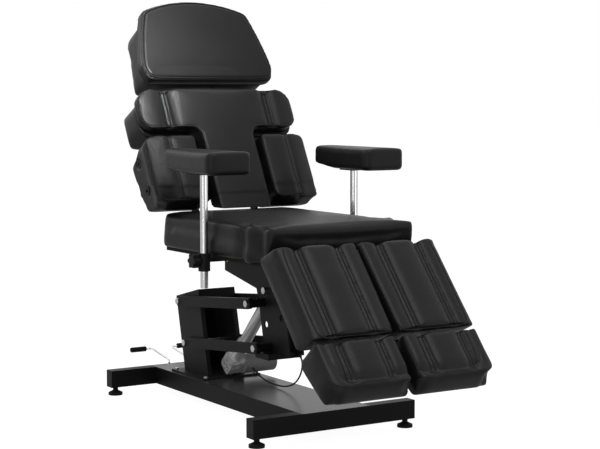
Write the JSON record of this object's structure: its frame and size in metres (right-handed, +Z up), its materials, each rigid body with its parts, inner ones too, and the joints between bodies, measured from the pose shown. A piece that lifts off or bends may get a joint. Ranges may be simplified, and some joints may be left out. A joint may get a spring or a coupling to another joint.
{
  "type": "tattoo chair",
  "caption": "Height-adjustable tattoo chair with a reclining back, sliding headrest, split raising leg supports, adjustable armrests and a foot-lever lift base.",
  "frame": {"origin": "on the floor, at the middle of the chair's bounding box", "axes": "+Z up, the seated person faces -Y, +X is the person's left"},
  "size_m": [0.7276, 1.6215, 1.3885],
  "materials": {
    "upholstery": "satin synthetic leather",
    "frame_paint": "black powder coat",
    "bolt_steel": "zinc-plated",
    "bright_chrome": "polished",
    "cast_alloy": "rough cast",
    "black_rubber": "matte",
    "black_plastic": "fine texture",
    "board": "black-stained plywood"
  },
  "bodies": {
    "base": {"base_frame": "frame_paint", "base_end_caps": "black_plastic", "column": "frame_paint", "column_bolts": "bolt_steel", "actuator_bracket": "frame_paint", "lever_brackets": "frame_paint", "motor_cord": "black_plastic"},
    "lower_arms": {"lower_lift_arms": "frame_paint"},
    "upper_arms": {"upper_lift_arms": "frame_paint"},
    "actuator": {"actuator_gearbox": "cast_alloy", "actuator_tube": "cast_alloy", "actuator_motor": "black_plastic"},
    "actuator_rod": {"actuator_rod": "bright_chrome"},
    "carriage": {"carriage_plates": "frame_paint", "carriage_top_plate": "frame_paint", "carriage_foot_slab": "frame_paint", "carriage_pins": "bolt_steel", "carriage_spacers": "black_plastic", "seat_board": "board", "seat_cushion": "upholstery", "leg_hinge_bracket": "frame_paint", "recline_ears": "frame_paint", "armrest_clamps": "frame_paint"},
    "backrest": {"back_cushion": "upholstery", "back_board": "board", "back_bolster": "upholstery", "back_wings": "upholstery", "wing_eyelets": "black_plastic", "back_frame": "frame_paint", "head_sleeves": "bolt_steel"},
    "headrest": {"head_cushion": "upholstery", "head_rear_cushion": "upholstery", "head_rods": "bright_chrome"},
    "leg_left": {"calf_cushion_left": "upholstery", "calf_frame_left": "frame_paint"},
    "foot_left": {"foot_cushion_left": "upholstery", "foot_frame_left": "frame_paint", "foot_rods_left": "bright_chrome"},
    "armrest_post_left": {"armrest_post_left": "bright_chrome"},
    "armrest_pad_left": {"armrest_pad_left": "upholstery", "armrest_plate_left": "frame_paint"},
    "clamp_knob_left": {"clamp_knob_left": "black_plastic"},
    "foot_lever_left": {"foot_lever_left": "bright_chrome", "lever_grip_left": "black_rubber"},
    "leg_right": {"calf_cushion_right": "upholstery", "calf_frame_right": "frame_paint"},
    "foot_right": {"foot_cushion_right": "upholstery", "foot_frame_right": "frame_paint", "foot_rods_right": "bright_chrome"},
    "armrest_post_right": {"armrest_post_right": "bright_chrome"},
    "armrest_pad_right": {"armrest_pad_right": "upholstery", "armrest_plate_right": "frame_paint"},
    "clamp_knob_right": {"clamp_knob_right": "black_plastic"},
    "foot_lever_right": {"foot_lever_right": "bright_chrome", "lever_grip_right": "black_rubber"},
    "levelling_foot_front_left": {"levelling_foot_front_left": "black_rubber"},
    "levelling_foot_front_right": {"levelling_foot_front_right": "black_rubber"},
    "levelling_foot_rear_left": {"levelling_foot_rear_left": "black_rubber"},
    "levelling_foot_rear_right": {"levelling_foot_rear_right": "black_rubber"}
  },
  "joints": [
    {"name": "lift", "type": "hinge", "parent": "base", "child": "lower_arms", "pos_m": [0, 0.4434, 0.195], "axis": [-1, 0, 0], "range_deg": [0, 40]},
    {"name": "upper_arm_pivot", "type": "hinge", "parent": "base", "child": "upper_arms", "pos_m": [0, 0.4904, 0.336], "axis": [-1, 0, 0], "range_deg": [-1, 41]},
    {"name": "carriage_pivot", "type": "hinge", "parent": "lower_arms", "child": "carriage", "pos_m": [0, -0.0366, 0.24], "axis": [-1, 0, 0], "range_deg": [-41, 1]},
    {"name": "actuator_pivot", "type": "hinge", "parent": "base", "child": "actuator", "pos_m": [0, 0.2934, 0.107], "axis": [-1, 0, 0], "range_deg": [-1, 31]},
    {"name": "actuator_rod_pivot", "type": "hinge", "parent": "carriage", "child": "actuator_rod", "pos_m": [0, -0.0096, 0.423], "axis": [-1, 0, 0], "range_deg": [-1, 31]},
    {"name": "recline", "type": "hinge", "parent": "carriage", "child": "backrest", "pos_m": [0, 0.2374, 0.522], "axis": [-1, 0, 0], "range_deg": [-3, 62.5]},
    {"name": "headrest_slide", "type": "slide", "parent": "backrest", "child": "headrest", "axis": [0, 0.4617, 0.887], "range_m": [0, 0.1]},
    {"name": "leg_left_raise", "type": "hinge", "parent": "carriage", "child": "leg_left", "pos_m": [0.007, -0.4566, 0.56], "axis": [-1, 0, 0], "range_deg": [0, 49]},
    {"name": "foot_left_slide", "type": "slide", "parent": "leg_left", "child": "foot_left", "axis": [0, -0.6534, -0.757], "range_m": [0, 0.12]},
    {"name": "armrest_left_height", "type": "slide", "parent": "carriage", "child": "armrest_post_left", "axis": [0, 0, 1], "range_m": [-0.13, 0.04]},
    {"name": "armrest_left_swivel", "type": "hinge", "parent": "armrest_post_left", "child": "armrest_pad_left", "pos_m": [0.285, -0.0566, 0.817], "axis": [0, 0, 1], "range_deg": [-25, 25]},
    {"name": "clamp_knob_left_turn", "type": "hinge", "parent": "carriage", "child": "clamp_knob_left", "pos_m": [0.285, -0.0566, 0.541], "axis": [1, 0, 0], "continuous": true},
    {"name": "foot_lever_left_press", "type": "hinge", "parent": "base", "child": "foot_lever_left", "pos_m": [0.04, 0.6614, 0.066], "axis": [-1, 0, 0], "range_deg": [0, 12], "stiffness_Nm_per_rad": 1.5, "springref_deg": -20.05},
    {"name": "leg_right_raise", "type": "hinge", "parent": "carriage", "child": "leg_right", "pos_m": [-0.007, -0.4566, 0.56], "axis": [-1, 0, 0], "range_deg": [0, 49]},
    {"name": "foot_right_slide", "type": "slide", "parent": "leg_right", "child": "foot_right", "axis": [0, -0.6534, -0.757], "range_m": [0, 0.12]},
    {"name": "armrest_right_height", "type": "slide", "parent": "carriage", "child": "armrest_post_right", "axis": [0, 0, 1], "range_m": [-0.13, 0.04]},
    {"name": "armrest_right_swivel", "type": "hinge", "parent": "armrest_post_right", "child": "armrest_pad_right", "pos_m": [-0.285, -0.0566, 0.817], "axis": [0, 0, 1], "range_deg": [-25, 25]},
    {"name": "clamp_knob_right_turn", "type": "hinge", "parent": "carriage", "child": "clamp_knob_right", "pos_m": [-0.285, -0.0566, 0.541], "axis": [1, 0, 0], "continuous": true},
    {"name": "foot_lever_right_press", "type": "hinge", "parent": "base", "child": "foot_lever_right", "pos_m": [-0.04, 0.6614, 0.066], "axis": [-1, 0, 0], "range_deg": [0, 12], "stiffness_Nm_per_rad": 1.5, "springref_deg": -20.05},
    {"name": "levelling_foot_front_left_turn", "type": "hinge", "parent": "base", "child": "levelling_foot_front_left", "pos_m": [0.276, -0.3646, 0], "axis": [0, 0, 1], "continuous": true},
    {"name": "levelling_foot_front_right_turn", "type": "hinge", "parent": "base", "child": "levelling_foot_front_right", "pos_m": [-0.276, -0.3646, 0], "axis": [0, 0, 1], "continuous": true},
    {"name": "levelling_foot_rear_left_turn", "type": "hinge", "parent": "base", "child": "levelling_foot_rear_left", "pos_m": [0.276, 0.6214, 0], "axis": [0, 0, 1], "continuous": true},
    {"name": "levelling_foot_rear_right_turn", "type": "hinge", "parent": "base", "child": "levelling_foot_rear_right", "pos_m": [-0.276, 0.6214, 0], "axis": [0, 0, 1], "continuous": true}
  ],
  "couplings": [
    {"joint": "upper_arm_pivot", "follows": "lift", "ratio": 1},
    {"joint": "carriage_pivot", "follows": "lift", "ratio": -1},
    {"joint": "actuator_pivot", "follows": "lift", "ratio": 0.74},
    {"joint": "actuator_rod_pivot", "follows": "lift", "ratio": 0.74}
  ]
}
